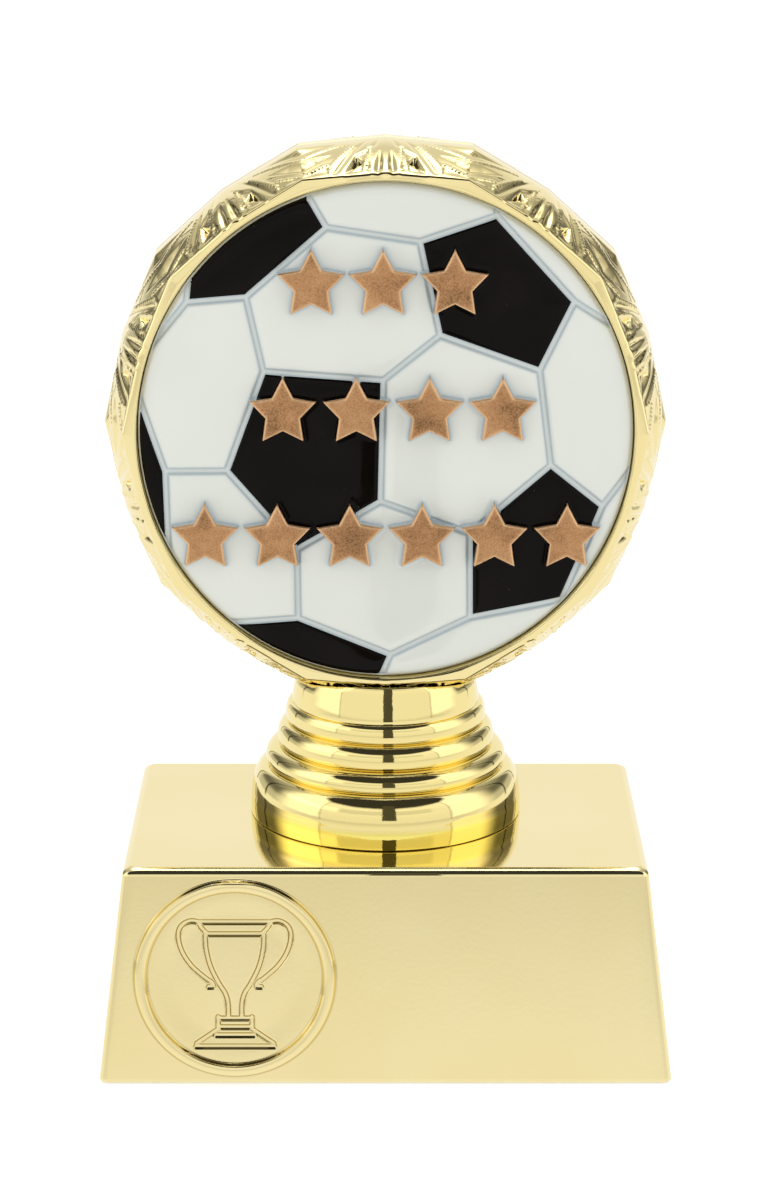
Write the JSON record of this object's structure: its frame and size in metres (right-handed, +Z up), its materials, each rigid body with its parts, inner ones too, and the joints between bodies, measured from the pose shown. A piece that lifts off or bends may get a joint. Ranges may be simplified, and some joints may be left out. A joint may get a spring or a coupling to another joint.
{
  "type": "figure trophy",
  "caption": "Tabletop football award: tapered gold base with an embossed cup roundel, stepped riser, and a round cut-glass style holder with a resin football medallion and raised stars.",
  "frame": {"origin": "centre of the base underside, where it stands on the table", "axes": "+Z up, the decorated front faces -Y, +X to the viewer's right"},
  "size_m": [0.0796, 0.0547, 0.127],
  "materials": {
    "gold_plating": "vacuum-metallised mirror gold over moulded plastic",
    "enamelled_resin": "glossy white and black enamel with bronze paint on raised stars",
    "weight_steel": "plain rolled steel",
    "zinc_steel": "bright zinc",
    "foam_pad": "white closed-cell foam tape"
  },
  "bodies": {
    "root": {"base_shell": "gold_plating", "base_weight_plate": "weight_steel", "clamp_washer": "zinc_steel", "clamp_nut": "zinc_steel", "threaded_rod": "zinc_steel", "riser_shell": "gold_plating", "holder_front_shell": "gold_plating", "holder_rear_shell": "gold_plating", "captive_nut": "zinc_steel", "adhesive_pad": "foam_pad", "medallion_disc": "enamelled_resin"}
  },
  "joints": []
}
